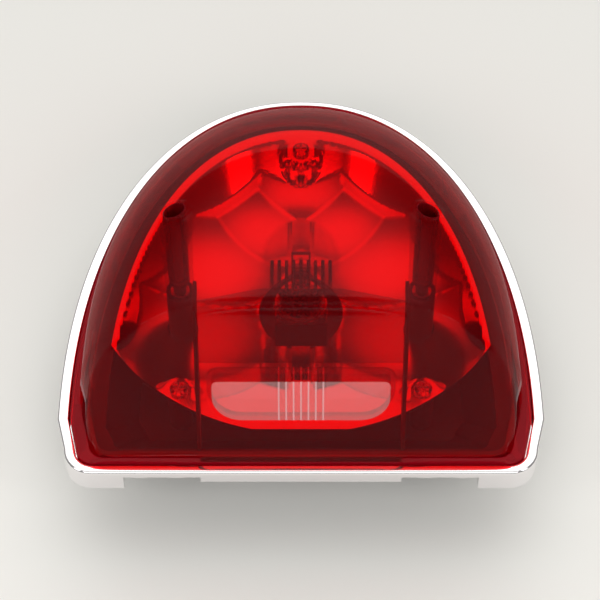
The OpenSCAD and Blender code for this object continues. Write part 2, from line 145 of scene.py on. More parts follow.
def object_noise(tree, scale, detail=3.0, stretch=(1, 1, 1)):
    place = tree.nodes.new("ShaderNodeTexCoord")
    mapping = tree.nodes.new("ShaderNodeMapping")
    mapping.inputs["Scale"].default_value = stretch
    noise = add_node(tree, "ShaderNodeTexNoise", Scale=scale, Detail=detail)
    tree.links.new(place.outputs["Object"], mapping.inputs["Vector"])
    tree.links.new(mapping.outputs["Vector"], noise.inputs["Vector"])
    return noise.outputs["Fac"]


def spread(tree, value, low, high):
    span = tree.nodes.new("ShaderNodeMapRange")
    span.inputs["To Min"].default_value = low
    span.inputs["To Max"].default_value = high
    tree.links.new(value, span.inputs["Value"])
    return span.outputs["Result"]


def bump(tree, height, distance, strength=1.0):
    made = add_node(tree, "ShaderNodeBump", Strength=strength, Distance=distance)
    tree.links.new(height, made.inputs["Height"])
    return made.outputs["Normal"]


def output(tree, shader):
    out = tree.nodes.new("ShaderNodeOutputMaterial")
    tree.links.new(shader, out.inputs["Surface"])
    return out


def calculate(tree, operation, first, second=None):
    """A sum on a linked value, with a number or another linked value."""
    made = tree.nodes.new("ShaderNodeMath")
    made.operation = operation
    tree.links.new(first, made.inputs[0])
    if isinstance(second, (int, float)):
        made.inputs[1].default_value = second
    elif second is not None:
        tree.links.new(second, made.inputs[1])
    return made.outputs["Value"]


def object_place(tree, axis):
    """Where a point is along one axis of its own piece."""
    place = tree.nodes.new("ShaderNodeTexCoord")
    split = tree.nodes.new("ShaderNodeSeparateXYZ")
    tree.links.new(place.outputs["Object"], split.inputs["Vector"])
    return split.outputs[axis]


HAZE_STEP = 0.3 * MM


def haze_by_height(tree, edge, below, above):
    """How milky a piece is: one value below a height and another above it."""
    span = tree.nodes.new("ShaderNodeMapRange")
    values = (("From Min", edge), ("From Max", edge + HAZE_STEP), ("To Min", below), ("To Max", above))
    for key, value in values:
        span.inputs[key].default_value = value
    tree.links.new(object_place(tree, "Z"), span.inputs["Value"])
    return span.outputs["Result"]


# The window's flutes, and the pale stripes along them, which are painted highlights
FLUTE_PITCH = 2.2 * MM
FLUTE_GLINT_CUT = 0.45
FLUTES_EACH_SIDE = 3.5


def painted_flute_glints(tree, plain, flute_glint_haze):
    """How milky the window is: a pale stripe along each flute, a painted highlight in place of the flute's
    glint.
    """
    across = object_place(tree, "X")
    wave = calculate(tree, "COSINE", calculate(tree, "MULTIPLY", across, math.tau / FLUTE_PITCH))
    glint_stripe = calculate(tree, "MAXIMUM", calculate(tree, "SUBTRACT", wave, FLUTE_GLINT_CUT), 0)
    from_middle = calculate(tree, "ABSOLUTE", across)
    near = calculate(tree, "LESS_THAN", from_middle, FLUTE_PITCH * FLUTES_EACH_SIDE)
    return spread(tree, calculate(tree, "MULTIPLY", glint_stripe, near), plain, flute_glint_haze)


WAVE_SCALE = 90
WAVE_DEPTH = 0.00003
SMEAR_SCALE = 260
GRAZING_POWER = 5
GRAZING_GLOSS = 0.16
RIM_HAZE_ABOVE = 0.1 * MM


def tinted_clear(name, tint, gloss_low, gloss_high, straight, haze=0.0, haze_and_glint_colour=(1, 1, 1),
                 rim_haze=None, flute_glint_haze=None):
    """Clear plastic: light goes straight through with a tint and a little haze, and glances off
    at a low angle. The rim can be milkier than the rest. Along the window's flutes, pale milky stripes are
    painted highlights in place of the flutes' glints."""
    material, tree = new_material(name)
    through = add_node(tree, "ShaderNodeBsdfTransparent", Color=(*tint, 1))
    shine = add_node(tree, "ShaderNodeBsdfGlossy", Color=(1, 1, 1, 1))
    waves = bump(tree, object_noise(tree, WAVE_SCALE, 1.0), WAVE_DEPTH)
    tree.links.new(spread(tree, object_noise(tree, SMEAR_SCALE, 4.0), gloss_low, gloss_high),
                   shine.inputs["Roughness"])
    tree.links.new(waves, shine.inputs["Normal"])
    facing = add_node(tree, "ShaderNodeLayerWeight", Blend=0.5)
    grazing = calculate(tree, "POWER", facing.outputs["Facing"], GRAZING_POWER)
    haze_and_glints = add_node(tree, "ShaderNodeBsdfDiffuse", Color=(*haze_and_glint_colour, 1))
    body = add_node(tree, "ShaderNodeMixShader", Fac=haze)
    if rim_haze is not None:
        edge = rim_z() + RIM_HAZE_ABOVE
        tree.links.new(haze_by_height(tree, edge, rim_haze, haze), body.inputs["Fac"])
    # Pale milky stripes along the flutes: painted highlights
    if flute_glint_haze is not None:
        tree.links.new(painted_flute_glints(tree, haze, flute_glint_haze), body.inputs["Fac"])
    tree.links.new(through.outputs["BSDF"], body.inputs[1])
    tree.links.new(haze_and_glints.outputs["BSDF"], body.inputs[2])
    mix = tree.nodes.new("ShaderNodeMixShader")
    tree.links.new(spread(tree, grazing, straight, GRAZING_GLOSS), mix.inputs["Fac"])
    tree.links.new(body.outputs["Shader"], mix.inputs[1])
    tree.links.new(shine.outputs["BSDF"], mix.inputs[2])
    output(tree, mix.outputs["Shader"])
    return material


def surface(name, colour, metallic, rough_low, rough_high, grain, grain_scale, shade=0.12, coat=0.0):
    """A solid finish: its colour and gloss vary a little over the surface, and it has a fine grain."""
    material, tree = new_material(name)
    shader = add_node(tree, "ShaderNodeBsdfPrincipled", Metallic=metallic, Coat_Weight=coat)
    broad = object_noise(tree, 60, 3.0)
    fine = object_noise(tree, grain_scale, 4.0)
    ramp = tree.nodes.new("ShaderNodeMix")
    ramp.data_type = "RGBA"
    ramp.inputs["A"].default_value = (*[c * (1 - shade) for c in colour], 1)
    ramp.inputs["B"].default_value = (*[min(1, c * (1 + shade)) for c in colour], 1)
    tree.links.new(broad, ramp.inputs["Factor"])
    tree.links.new(ramp.outputs["Result"], shader.inputs["Base Color"])
    tree.links.new(spread(tree, fine, rough_low, rough_high), shader.inputs["Roughness"])
    tree.links.new(bump(tree, fine, grain), shader.inputs["Normal"])
    output(tree, shader.outputs["BSDF"])
    return material


FINISHES = {}


def finish_of(name):
    """Each finish is made once, when it is first asked for."""
    if name not in FINISHES:
        c = colours()
        FINISHES[name] = {
            "red_lens": lambda: tinted_clear("red_lens", c.red, 0.015, 0.05, 0.007,
                                             0.035, (0.85, 0.006, 0.03), 0.22),
            # The window: its pale milky stripes along the flutes, in this colour, are painted highlights
            "clear_window": lambda: tinted_clear("clear_window", c.clear, 0.01, 0.03, 0.12,
                                                 0.03, (0.95, 0.6, 0.62), flute_glint_haze=0.7),
            "bulb_glass": lambda: tinted_clear("bulb_glass", (0.97, 0.98, 0.98), 0.0, 0.02, 0.04),
            "chrome": lambda: surface("chrome", c.chrome, 1.0, 0.03, 0.10, 0.000004, 900, 0.03),
            "reflector": lambda: surface("reflector", (0.9, 0.9, 0.91), 1.0, 0.09, 0.18,
                                         0.00001, 700, 0.04),
            "dark_plastic": lambda: surface("dark_plastic", c.plastic, 0.0, 0.42, 0.6,
                                            0.00003, 1500, 0.25),
            "holder_plastic": lambda: surface("holder_plastic", (0.2, 0.19, 0.18), 0.0, 0.35, 0.5,
                                              0.00003, 1200, 0.2),
            "smoky_red": lambda: tinted_clear("smoky_red", (0.78, 0.01, 0.03), 0.05, 0.1, 0.008,
                                              0.03, (0.6, 0.006, 0.02)),
            # Darker, milkier red for the well linings: partly the thick tubes' own tint, partly painted
            # shade inside the wells
            "well_red_and_shade": lambda: tinted_clear("well_red_and_shade", (0.55, 0.01, 0.02), 0.05, 0.1, 0.03,
                                             0.45, (0.30, 0.004, 0.01)),
            "dark_steel": lambda: surface("dark_steel", (0.09, 0.09, 0.095), 1.0, 0.3, 0.45,
                                          0.00001, 1400, 0.1),
            "rubber": lambda: surface("rubber", (0.012, 0.012, 0.012), 0.0, 0.65, 0.85,
                                      0.00005, 900, 0.3),
            "grey_rubber": lambda: surface("grey_rubber", (0.24, 0.23, 0.23), 0.0, 0.6, 0.8,
                                           0.00005, 900, 0.15),
            "steel": lambda: surface("steel", (0.55, 0.55, 0.56), 1.0, 0.25, 0.42, 0.00001, 1400, 0.1),
            "plated_steel": lambda: surface("plated_steel", (0.66, 0.65, 0.62), 1.0, 0.18, 0.35,
                                            0.00001, 1400, 0.08),
            "nickel": lambda: surface("nickel", (0.64, 0.62, 0.57), 1.0, 0.2, 0.34, 0.00001, 1000, 0.1),
            "brass": lambda: surface("brass", (0.68, 0.48, 0.2), 1.0, 0.2, 0.38, 0.00001, 1200, 0.12),
            "solder": lambda: surface("solder", (0.5, 0.5, 0.5), 1.0, 0.35, 0.5, 0.00002, 800, 0.1),
            "fibre_board": lambda: surface("fibre_board", (0.2, 0.09, 0.04), 0.0, 0.55, 0.75,
                                           0.00004, 1100, 0.3),
            "tungsten": lambda: surface("tungsten", (0.2, 0.2, 0.21), 1.0, 0.4, 0.55, 0.00001, 2000, 0.1),
        }[name]()
    return FINISHES[name]


def cover(piece, finish):
    piece.data.materials.clear()
    piece.data.materials.append(finish_of(finish))


# Modelling

def deselect():
    if bpy.context.object and bpy.context.object.mode != "OBJECT":
        bpy.ops.object.mode_set(mode="OBJECT")
    bpy.ops.object.select_all(action="DESELECT")


def pick(piece):
    deselect()
    piece.select_set(True)
    bpy.context.view_layer.objects.active = piece


def select_from(piece, start):
    """Selects the corners numbered from start on, which are those of the newest ring."""
    bm = bmesh.from_edit_mesh(piece.data)
    for element in (*bm.verts, *bm.edges, *bm.faces):
        element.select = False
    bm.verts.ensure_lookup_table()
    for vert in bm.verts[start:]:
        vert.select = True
    bm.select_flush(True)
    bmesh.update_edit_mesh(piece.data)


def skin(name, rings, closed=False):
    """A skin extruded ring by ring from a circle; it is capped, or joined up where closed."""
    deselect()
    count = len(rings[0])
    bpy.ops.mesh.primitive_circle_add(vertices=count, radius=0.01, location=(0, 0, 0))
    piece = bpy.context.object
    piece.name = name
    for vert, place in zip(piece.data.vertices, rings[0]):
        vert.co = place
    bpy.ops.object.mode_set(mode="EDIT")
    bpy.ops.mesh.select_mode(type="VERT")
    for k, ring in enumerate(rings[1:], start=1):
        select_from(piece, (k - 1) * count)
        bpy.ops.mesh.extrude_edges_move()
        bm = bmesh.from_edit_mesh(piece.data)
        bm.verts.ensure_lookup_table()
        for vert, place in zip(bm.verts[k * count:], ring):
            vert.co = place
        bmesh.update_edit_mesh(piece.data)
    last = (len(rings) - 1) * count
    bm = bmesh.from_edit_mesh(piece.data)
    bm.verts.ensure_lookup_table()
    if closed:
        for i in range(count):
            j = (i + 1) % count
            bm.faces.new([bm.verts[c] for c in (i, j, last + j, last + i)])
    else:
        for start in (0, last):
            bm.faces.new([bm.verts[start + i] for i in range(count)])
    bmesh.update_edit_mesh(piece.data)
    bpy.ops.mesh.select_all(action="SELECT")
    bpy.ops.mesh.normals_make_consistent(inside=False)
    bpy.ops.object.mode_set(mode="OBJECT")
    return piece


def apply_modifier(piece, kind, **settings):
    pick(piece)
    made = piece.modifiers.new(kind.title(), kind)
    for key, value in settings.items():
        setattr(made, key, value)
    bpy.ops.object.modifier_apply(modifier=made.name)


def combine(piece, other, operation):
    """Adds, cuts away or keeps what another piece covers, and removes that other piece."""
    apply_modifier(piece, "BOOLEAN", object=other, operation=operation, solver="EXACT")
    bpy.data.objects.remove(other)
    if not piece.data.polygons:
        raise RuntimeError(f"nothing is left of {piece.name} after {operation.lower()}")


def joined(pieces):
    """The first piece with the others added to it."""
    first, *others = pieces
    for other in others:
        combine(first, other, "UNION")
    return first


def block(low, high):
    deselect()
    low, high = Vector(low), Vector(high)
    bpy.ops.mesh.primitive_cube_add(size=1, location=(low + high) / 2)
    made = bpy.context.object
    made.scale = high - low
    bpy.ops.object.transform_apply(location=True, rotation=True, scale=True)
    return made


def turned(low_radius, high_radius, low_z, high_z, x=0.0, y=0.0, sides=64):
    deselect()
    bpy.ops.mesh.primitive_cone_add(vertices=sides, radius1=low_radius, radius2=high_radius,
                                    depth=high_z - low_z, location=(x, y, (low_z + high_z) / 2))
    bpy.ops.object.transform_apply(location=True, rotation=True, scale=True)
    return bpy.context.object


def clean(piece, distance=0.00002):
    pick(piece)
    bpy.ops.object.mode_set(mode="EDIT")
    bpy.ops.mesh.select_all(action="SELECT")
    bpy.ops.mesh.remove_doubles(threshold=distance)
    bpy.ops.object.mode_set(mode="OBJECT")


def shade(piece, angle=32):
    pick(piece)
    bpy.ops.object.shade_smooth_by_angle(angle=math.radians(angle))


def hand_over(piece, name, finish, body, *nodes, slot=None):
    """Names a finished piece, gives it its finish, and puts it in the place of its CAD nodes."""
    piece.name = name
    piece.data.name = name
    cover(piece, finish)
    if nodes:
        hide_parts(*nodes)
    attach(piece, body)
    return piece


# The lens's outline and dome

OUTLINE_POWER = 2.15
CORNER_STEPS = 8
CORNER_RADIUS = 5 * MM
CORNER_TAPER = 2.6 * MM
SMALLEST_CORNER = 3 * MM
TOP_CORNER = 1 * MM
WIDEST = 16 * MM
CORNER_TO_WIDEST = 4 * MM
WIDEST_GAP = 0.5 * MM
WIDEST_RISE = 10 * MM
SIDE_POWER = 2.6
TOP_POWER = 1.3
# The rings crowd toward the top, and the last one stops a little short of it
RING_CROWDING = 1.7
TIP_SHARE = 0.998
TIP_ALLOWANCE = 0.0045

HALF_WIDTH = (LENS_HIGH.x - LENS_LOW.x) / 2
FLAT_Y = LENS_LOW.y
ROUND_Y = LENS_HIGH.y
FOOT_Z = LENS_LOW.z
DOME_TOP_Z = CAD_HIGH.z + (CAD_HIGH.z - FOOT_Z) * TIP_ALLOWANCE


def rim_z():
    return FOOT_Z + sizes().rim_thickness


def dome_height():
    return DOME_TOP_Z - rim_z()


def signed_power(value, power):
    return math.copysign(abs(value) ** power, value)


def d_outline(width, top, bottom, widest, corner, taper):
    """A rounded end over a widest line, and a flat end with two round corners."""
    steps = sizes().ring_points
    power = 2 / OUTLINE_POWER
    points = []
    for i in range(steps + 1):
        turn = math.pi * i / steps
        points.append((width * signed_power(math.cos(turn), power),
                       widest + (top - widest) * abs(math.sin(turn)) ** power))
    for side, start in ((-1, math.pi), (1, 1.5 * math.pi)):
        for i in range(CORNER_STEPS + 1):
            turn = start + math.pi / 2 * i / CORNER_STEPS
            points.append((side * (width - taper - corner) + corner * math.cos(turn),
                           bottom + corner * (1 + math.sin(turn))))
    return points


def grown_rim(side, top, bottom):
    """The lens's outline, grown at its sides, its round end and its flat end."""
    corner = max(SMALLEST_CORNER, CORNER_RADIUS + (side + bottom) / 2)
    widest = max(WIDEST, corner + CORNER_TO_WIDEST - bottom)
    return d_outline(HALF_WIDTH + side, ROUND_Y + top, FLAT_Y - bottom, FLAT_Y + widest,
                     corner, CORNER_TAPER)


def at_height(outline, z):
    return [(x, y, z) for x, y in outline]


def face_slope():
    return sizes().face_lean / dome_height()


def slant():
    """How much further it is across a wall on the leaning face than straight through it."""
    return math.sqrt(1 + face_slope() ** 2)


def dome_ring(share, inset, step=0.0):
    """One ring of the dome, moved in by inset; step moves its flat side out."""
    s = sizes()
    height = dome_height() - inset
    z = height * share
    slope = face_slope()
    flat = FLAT_Y + s.rim_band / 2 + inset * slant()
    bottom = flat + z * slope - step
    apex = flat + height * slope
    top = apex + (ROUND_Y - s.rim_band - inset - apex) * math.sqrt(1 - share ** TOP_POWER)
    width = (HALF_WIDTH - s.rim_band - inset) * (1 - share ** SIDE_POWER) ** (1 / SIDE_POWER)
    corner = TOP_CORNER + (CORNER_RADIUS - TOP_CORNER) * (1 - share)
    widest = bottom + corner + WIDEST_GAP + WIDEST_RISE * (1 - share)
    outline = d_outline(width, top, bottom, widest, corner, CORNER_TAPER * (1 - share))
    return at_height(outline, rim_z() + z)


def dome(inset, step=0.0):
    count = sizes().dome_rings
    return [dome_ring(TIP_SHARE * (1 - (1 - k / count) ** RING_CROWDING), inset, step)
            for k in range(count + 1)]


def flat_ring(ring, z):
    return [(p[0], p[1], z) for p in ring]


WINDOW_UP = 17 * MM
WINDOW_HALF = 26.5 * MM
WINDOW_TALL = 15.5 * MM
BIG_CORNER = 9 * MM
SMALL_CORNER = 2 * MM
WINDOW_STEPS = 10


def window_outline():
    """The window's opening, with big round corners at its foot and small ones at its top."""
    big, small = WINDOW_HALF - BIG_CORNER, WINDOW_HALF - SMALL_CORNER
    high = WINDOW_TALL - SMALL_CORNER
    corners = ((big, BIG_CORNER, BIG_CORNER, 270), (small, high, SMALL_CORNER, 0),
               (-small, high, SMALL_CORNER, 90), (-big, BIG_CORNER, BIG_CORNER, 180))
    points = []
    for x, y, radius, start in corners:
        for i in range(WINDOW_STEPS + 1):
            turn = math.radians(start + 90 / WINDOW_STEPS * i)
            points.append((x + radius * math.cos(turn), y + radius * math.sin(turn)))
    return points


def on_face(x, up, out):
    """A place on the flat face: across, up the face from the rim, and out of it."""
    tilt = math.atan(face_slope())
    y = FLAT_Y + sizes().rim_band / 2 + up * math.sin(tilt) - out * math.cos(tilt)
    return (x, y, rim_z() + up * math.cos(tilt) + out * math.sin(tilt))


# Lens

PANEL_BACK = 3.5 * MM
PANEL_END_Y = -20 * MM
PANEL_FRONT = 5 * MM
OPENING_HALF = 4 * MM
SCREW_HEAD_RADIUS = 3.2 * MM
SCREW_HOLE_RADIUS = 2.3 * MM
TUBE_FOOT_RADIUS = 4.4 * MM
TUBE_PROUD = 0.5 * MM
WELL_TAPER = 0.15 * MM
LENS_EDGE = 0.35 * MM


def well_places():
    """The middle of each screw well."""
    reach = SCREW_HIGH.x - SCREW_HEAD_RADIUS
    middle = (SCREW_LOW.y + SCREW_HIGH.y) / 2
    return [(side * reach, middle) for side in (-1, 1)]


class LAMP_OT_lens(bpy.types.Operator):
    """Builds the red lens with its rim, raised panel, window opening and screw wells"""
    bl_idname = "lamp.lens"
    bl_label = "Lens"

    def execute(self, context):
        s = sizes()
        rim = grown_rim(0, 0, 0)
        shell = skin("lens_shell", [at_height(rim, FOOT_Z), at_height(rim, rim_z())] + dome(0))
        panel = skin("panel", dome(PANEL_BACK, s.panel_step + PANEL_BACK * slant()))
        combine(panel, block((-s.panel_width / 2, FLAT_Y - PANEL_FRONT, rim_z() - MM),
                             (s.panel_width / 2, PANEL_END_Y, DOME_TOP_Z)), "INTERSECT")
        combine(shell, panel, "UNION")
        hollow = dome(s.lens_wall)
        combine(shell, skin("hollow", [flat_ring(hollow[0], FOOT_Z - MM)] + hollow), "DIFFERENCE")
        tube_foot = INSERT_HIGH.z
        for x, y in well_places():
            tube = turned(TUBE_FOOT_RADIUS, s.tube_radius, tube_foot, DOME_TOP_Z, x, y)
            combine(tube, skin("dome", dome(-TUBE_PROUD)), "INTERSECT")
            combine(shell, tube, "UNION")
            combine(shell, turned(s.well_radius - WELL_TAPER, s.well_radius + WELL_TAPER, SEAL_LOW.z,
                                  DOME_TOP_Z + MM, x, y), "DIFFERENCE")
            combine(shell, turned(SCREW_HOLE_RADIUS, SCREW_HOLE_RADIUS, tube_foot - MM, SEAL_LOW.z + MM,
                                  x, y), "DIFFERENCE")
        opening = [[on_face(x, WINDOW_UP + y, out) for x, y in window_outline()]
                   for out in (-OPENING_HALF, OPENING_HALF)]
        combine(shell, skin("opening", opening), "DIFFERENCE")
        clean(shell)
        apply_modifier(shell, "BEVEL", width=LENS_EDGE, segments=2, limit_method="ANGLE",
                       angle_limit=math.radians(38), use_clamp_overlap=True)
        shade(shell, 30)
        hand_over(shell, "lens_shell", "red_lens", "lamp", "lens")
        return {"FINISHED"}


# Chamber

WALL_HALF = 0.55 * MM
WALL_ASIDE = 0.4 * MM
WALL_GAP = 0.3 * MM
WALL_DEEP = 30 * MM
WALL_TALL = 54 * MM
WALL_BAND = 6 * MM
# A dark box behind the flat face, painted shade in place of the dark bulb hole seen through it: across and
# up the flat face, and out of it, in millimetres
HOLE_SHADE_BOX = ((-7.6, 40.5), (7.6, 40.5), (7.6, 48.5), (-7.6, 48.5))
HOLE_SHADE_BOX_OUT = (-6.5, -5.3)
SCREEN_ASIDE = 0.3 * MM
SCREEN_LOW = 35 * MM
SCREEN_SHOULDER = 58 * MM
SCREEN_TOP = 62.5 * MM
SCREEN_TOP_HALF = 12 * MM
SCREEN_OUT = (-5.2 * MM, -4.0 * MM)
RIBS_EACH_SIDE = 4
RIB_PITCH = 2.1 * MM
RIB_HALF = 0.5 * MM
RIB_FRONT_Y, RIB_BACK_Y = -46 * MM, -28 * MM
RIB_UP = 30 * MM
RIB_GAP = 0.2 * MM
RIB_DEEP = 2.2 * MM


def between_domes(piece, outside, under):
    """Keeps the part of a piece that is between two insets of the dome."""
    combine(piece, skin("outside", dome(outside)), "INTERSECT")
    combine(piece, skin("under", dome(under)), "DIFFERENCE")
    return piece


def side_wall(side):
    s = sizes()
    x = side * (s.panel_width / 2 + WALL_ASIDE)
    wall = block((x - WALL_HALF, FLAT_Y, rim_z()), (x + WALL_HALF, FLAT_Y + WALL_DEEP, rim_z() + WALL_TALL))
    inside = s.lens_wall + WALL_GAP
    return between_domes(wall, inside, inside + WALL_BAND)


def screen_rib(number):
    wall = sizes().lens_wall
    x = number * RIB_PITCH
    rib = block((x - RIB_HALF, RIB_FRONT_Y, rim_z() + RIB_UP), (x + RIB_HALF, RIB_BACK_Y, DOME_TOP_Z))
    return between_domes(rib, wall + RIB_GAP, wall + RIB_DEEP)


class LAMP_OT_chamber(bpy.types.Operator):
    """Builds the dark walls beside the plate window, and above it the ribbed screen and a dark box that is
    painted shade in place of the bulb hole's dark
    """
    bl_idname = "lamp.chamber"
    bl_label = "Chamber walls"

    def execute(self, context):
        # A dark box behind the face: painted shade in place of the dark bulb hole
        hole_shade_box = [[on_face(x * MM, up * MM, out * MM) for x, up in HOLE_SHADE_BOX] for out in HOLE_SHADE_BOX_OUT]
        walls = joined([side_wall(-1), side_wall(1), skin("hole_shade_box", hole_shade_box)])
        clean(walls)
        shade(walls, 30)
        hand_over(walls, "chamber_walls", "dark_plastic", "lamp")
        edge = sizes().panel_width / 2 - SCREEN_ASIDE
        outline = ((-edge, SCREEN_LOW), (edge, SCREEN_LOW), (edge, SCREEN_SHOULDER),
                   (SCREEN_TOP_HALF, SCREEN_TOP), (-SCREEN_TOP_HALF, SCREEN_TOP), (-edge, SCREEN_SHOULDER))
        sheet = skin("chamber_screen", [[on_face(x, up, out) for x, up in outline] for out in SCREEN_OUT])
        ribs = [screen_rib(k) for k in range(-RIBS_EACH_SIDE, RIBS_EACH_SIDE + 1)]
        screen = joined([sheet] + ribs)
        clean(screen)
        shade(screen, 30)
        hand_over(screen, "chamber_screen", "smoky_red", "lamp", slot="red_lens")
        return {"FINISHED"}


# Well linings: darker red sleeves, partly the thick tubes' own tint and partly painted shade inside the
# wells

LINING_PROUD = 0.6 * MM
LINING_FOOT = 3 * MM
LINING_OUTSIDE = (-0.22 * MM, 0.1 * MM)
LINING_INSIDE = (-0.42 * MM, -0.2 * MM)


def well_lining(x, y):
    radius = sizes().well_radius
    lining = turned(radius + LINING_OUTSIDE[0], radius + LINING_OUTSIDE[1], SEAL_HIGH.z + LINING_FOOT,
                    DOME_TOP_Z, x, y)
    combine(lining, turned(radius + LINING_INSIDE[0], radius + LINING_INSIDE[1], SEAL_LOW.z,
                           DOME_TOP_Z + MM, x, y), "DIFFERENCE")
    combine(lining, skin("outside", dome(-LINING_PROUD)), "INTERSECT")
    return lining


class LAMP_OT_wells(bpy.types.Operator):
    """Builds the darker red linings of the screw wells; their darkness is partly the tubes' own deeper red
    and partly painted shade inside the wells
    """
    bl_idname = "lamp.wells"
    bl_label = "Well linings"

    def execute(self, context):
        linings = joined([well_lining(x, y) for x, y in well_places()])
        shade(linings, 30)
        hand_over(linings, "well_linings", "well_red_and_shade", "lamp", slot="red_lens")
        return {"FINISHED"}


# Bezel

BEZEL_GAP = 0.4 * MM
BEZEL_LIP = 5.5 * MM
BEZEL_LEDGE = 2.5 * MM
BEZEL_EDGE = 0.9 * MM
BEZEL_EASE = 0.15 * MM
BEZEL_STEPS = 4
BEZEL_BEVEL = 0.3 * MM
LEG_IN = 17 * MM
CUT_HALF = 30.5 * MM
CUT_BACK = 14 * MM
DEEP_CUT = 5.6 * MM
SHALLOW_CUT = 3 * MM
TAB_PLACES = (38 * MM, 49 * MM)
TAB_HALF = 2 * MM
TAB_IN = 0.6 * MM
TAB_LOW, TAB_HIGH = 4.4 * MM, 1.5 * MM


def bezel_rings(side, top, bottom):
    """The bezel's section, ring by ring: up its inside, over its rounded edge and down its outside."""
    low, high = BEZEL_LOW.z, BEZEL_HIGH.z
    gap, edge = BEZEL_GAP, BEZEL_EDGE
    inner = [(-BEZEL_LIP, low), (-BEZEL_LIP, low + BEZEL_LEDGE), (gap, low + BEZEL_LEDGE),
             (gap, high - edge / 2), (gap + BEZEL_EASE, high - edge / 8), (gap + edge / 2, high)]
    rings = [at_height(grown_rim(grow, grow, grow), z) for grow, z in inner]
    outer = []
    for k in range(BEZEL_STEPS + 1):
        turn = math.pi / 2 * k / BEZEL_STEPS
        outer.append((edge * (1 - math.sin(turn)), high - edge * (1 - math.cos(turn))))
    outer += [(0, low + edge / 2), (edge / 2, low)]
    for inset, z in outer:
        rings.append(at_height(grown_rim(side - inset, top - inset, bottom - inset), z))
    return rings


class LAMP_OT_bezel(bpy.types.Operator):
    """Builds the chrome bezel with its rounded lip, corner legs and cut-back flat end"""
    bl_idname = "lamp.bezel"
    bl_label = "Bezel"

    def execute(self, context):
        bottom = FLAT_Y - BEZEL_LOW.y
        ring = skin("bezel_ring", bezel_rings(BEZEL_HIGH.x - HALF_WIDTH, BEZEL_HIGH.y - ROUND_Y, bottom),
                    closed=True)
        low = BEZEL_LOW.z - MM
        front, back = BEZEL_LOW.y - MM, FLAT_Y + CUT_BACK
        combine(ring, block((-CUT_HALF, front, low), (CUT_HALF, back, rim_z() - DEEP_CUT)), "DIFFERENCE")
        for side in (-1, 1):
            left, right = sorted((side * CUT_HALF, side * (HALF_WIDTH - LEG_IN)))
            combine(ring, block((left, front, low), (right, back, rim_z() - SHALLOW_CUT)), "DIFFERENCE")
            for place in TAB_PLACES:
                x = side * place
                tab = block((x - TAB_HALF, FLAT_Y - bottom + TAB_IN, rim_z() - TAB_LOW),
                            (x + TAB_HALF, FLAT_Y - BEZEL_GAP, rim_z() - TAB_HIGH))
                combine(ring, tab, "UNION")
        clean(ring)
        apply_modifier(ring, "BEVEL", width=BEZEL_BEVEL, segments=2, limit_method="ANGLE",
                       angle_limit=math.radians(50), use_clamp_overlap=True)
        shade(ring, 40)
        hand_over(ring, "bezel_ring", "chrome", "lamp", "chrome_bezel")
        return {"FINISHED"}


# Reflector

RIM_PLANE = REFLECTOR_HIGH.z
# Each dish: its centre, the depth there and how fast it rises, in millimetres
DISHES = (
    (27, 18, 12.5, 0.014),
    (12.5, 33, 11.5, 0.018),
    (0, 47, 10.5, 0.018),
    (27, 50, 9.0, 0.014),
    (31, -8, 12.0, 0.014),
    (0, -4, 9.0, 0.010),
)
WALL_RISE = 90
WALL_FROM = 0.965
WIDEST_UP = 9
FLAT_END_RUN = 60
RIDGE_RISE = 2.5
RIDGE_HALF = 3.4
RIDGE_SIDE = 0.6
RIDGE_END, RIDGE_FULL = 38, 36


def fade(zero_at, one_at, value):
    """Goes smoothly from 0 to 1 between two values."""
    share = min(1.0, max(0.0, (value - zero_at) / (one_at - zero_at)))
    return share * share * (3 - 2 * share)


def rim_share(x, y):
    """How near a place is to the reflector's edge: 1 on it, 0 on the widest line's middle."""
    half = REFLECTOR_HIGH.x / MM
    top, bottom = REFLECTOR_HIGH.y / MM, REFLECTOR_LOW.y / MM
    widest = bottom + WIDEST_UP
    across = abs(x) / half
    along = max(0.0, (y - widest) / (top - widest))
    share = (across ** OUTLINE_POWER + along ** OUTLINE_POWER) ** (1 / OUTLINE_POWER)
    return max(share, 1 - (y - bottom) / FLAT_END_RUN)


SCREW_HEAD = 2.8
BOSS_FLAT, BOSS_CLEAR = 4.6, 7.6
BOSS_X = BOSS_HIGH.x / MM - SCREW_HEAD
BOSS_PLACES = ((0, BOSS_HIGH.y / MM - SCREW_HEAD), (BOSS_X, BOSS_LOW.y / MM + SCREW_HEAD),
               (-BOSS_X, BOSS_LOW.y / MM + SCREW_HEAD))


def off_bosses(x, y):
    """0 over a screw boss, where the reflector is flat, and 1 well away from one."""
    return min(fade(BOSS_FLAT, BOSS_CLEAR, math.hypot(x - bx, y - by)) for bx, by in BOSS_PLACES)


def dish_height(x, y):
    """The reflector's surface over a place, all in millimetres under its rim plane."""
    heights = [-depth + rise * ((abs(x) - cx) ** 2 + (y - cy) ** 2)
               for cx, cy, depth, rise in DISHES]
    wall = -WALL_RISE * max(0.0, WALL_FROM - rim_share(x, y))
    ridge = RIDGE_RISE * fade(RIDGE_HALF + RIDGE_SIDE, RIDGE_HALF, abs(x)) * fade(RIDGE_END, RIDGE_FULL, y)
    return min(0.0, max(wall, min(heights)) + ridge) * off_bosses(x, y)


DISH_GRID = 170
DISH_MARGIN = 2.08
DISH_WALL = 1.5 * MM
DISH_LOW, DISH_HIGH = RIM_PLANE - 30 * MM, RIM_PLANE + 5 * MM
ROUND_RADIUS, ROUND_CENTRE_Y, ROUND_SIDES = 71.6 * MM, 22 * MM, 160
BULB_HOLE_RADIUS = 13.5 * MM
POST_HOLE_RADIUS = 4.9 * MM
BOSS_HOLE_RADIUS, BOSS_HOLE_LOW, BOSS_HOLE_SIDES = 1.6 * MM, RIM_PLANE - 10 * MM, 24


def rod(radius, x=0.0, y=0.0, low=DISH_LOW, sides=64):
    """A straight rod right through the reflector."""
    return turned(radius, radius, low, DISH_HIGH, x, y, sides)


